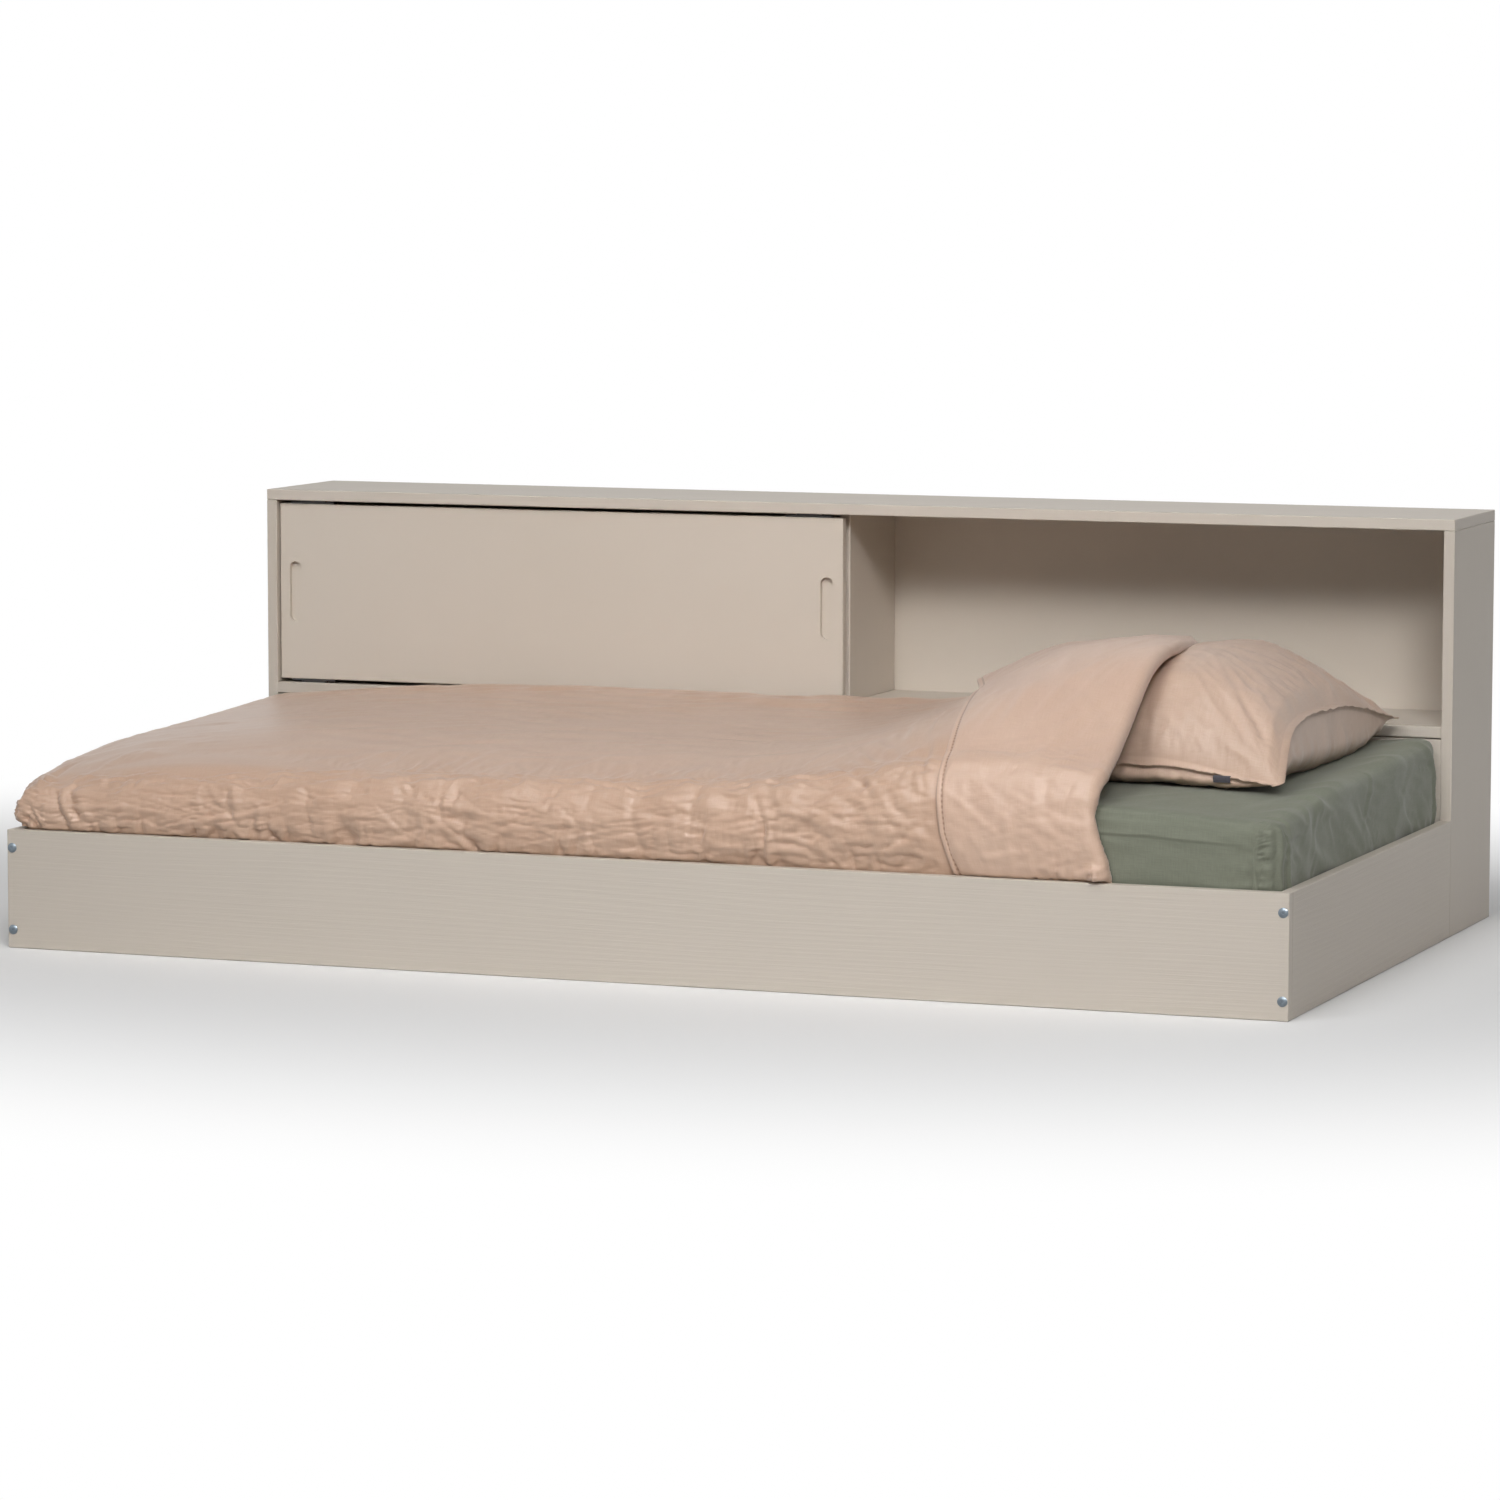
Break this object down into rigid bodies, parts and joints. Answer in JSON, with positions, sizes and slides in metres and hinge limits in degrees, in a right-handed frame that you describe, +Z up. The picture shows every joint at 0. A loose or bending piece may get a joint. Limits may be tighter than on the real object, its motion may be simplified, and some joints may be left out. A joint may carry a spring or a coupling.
{
  "type": "storage bed",
  "caption": "Low painted single bed made up with bedding, with a long cabinet along its back that has a sliding door and an open compartment.",
  "frame": {"origin": "on the floor, at the middle of the space that the whole bed takes up", "axes": "+X along the bed towards the pillow end, +Y from the front rail to the cabinet's back, +Z up"},
  "size_m": [2.06, 1.1924, 0.66],
  "materials": {
    "painted_board": "matt painted, warm greige",
    "painted_door": "smooth matt lacquer",
    "bare_pine": "sawn and planed, unfinished",
    "beech_dowel": "fluted, unfinished",
    "zinc_steel": "bright zinc",
    "zinc_alloy": "die cast",
    "track_plastic": "extruded, to match the paint",
    "glide_plastic": "moulded black nylon",
    "clear_pad": "soft, translucent",
    "webbing": "woven tape",
    "foam": "mattress ticking",
    "green_cotton": "washed cotton",
    "peach_satin": "cotton satin",
    "pillow_satin": "cotton satin",
    "tab_cloth": "folded tape"
  },
  "bodies": {
    "bed": {"front_rail": "painted_board", "end_board_left": "painted_board", "end_board_right": "painted_board", "cabinet_side_left": "painted_board", "cabinet_side_right": "painted_board", "cabinet_top": "painted_board", "cabinet_shelf": "painted_board", "shelf_front_rail": "painted_board", "cabinet_divider": "painted_board", "lower_panel": "painted_board", "lower_divider": "painted_board", "rear_stretcher": "bare_pine", "back_panel": "painted_door", "slat_batten_front": "bare_pine", "slat_batten_back": "bare_pine", "bed_slats": "bare_pine", "slat_tapes": "webbing", "rail_bolts": "zinc_steel", "barrel_nuts": "zinc_steel", "rail_dowels": "beech_dowel", "batten_screws": "zinc_steel", "corner_brackets": "zinc_steel", "bracket_screws": "zinc_steel", "cam_bolts": "zinc_steel", "cam_housings": "zinc_alloy", "cabinet_dowels": "beech_dowel", "back_panel_screws": "zinc_steel", "track_lower": "track_plastic", "track_upper": "track_plastic", "door_bumpers": "clear_pad", "mattress": "foam", "fitted_sheet": "green_cotton", "duvet": "peach_satin", "pillow": "pillow_satin", "pillow_tab": "tab_cloth"},
    "door": {"sliding_door": "painted_door", "door_glides": "glide_plastic", "door_guides": "glide_plastic", "door_screws": "zinc_steel"}
  },
  "joints": [
    {"name": "door_slide", "type": "slide", "parent": "bed", "child": "door", "axis": [1, 0, 0], "range_m": [0, 1.004]}
  ]
}
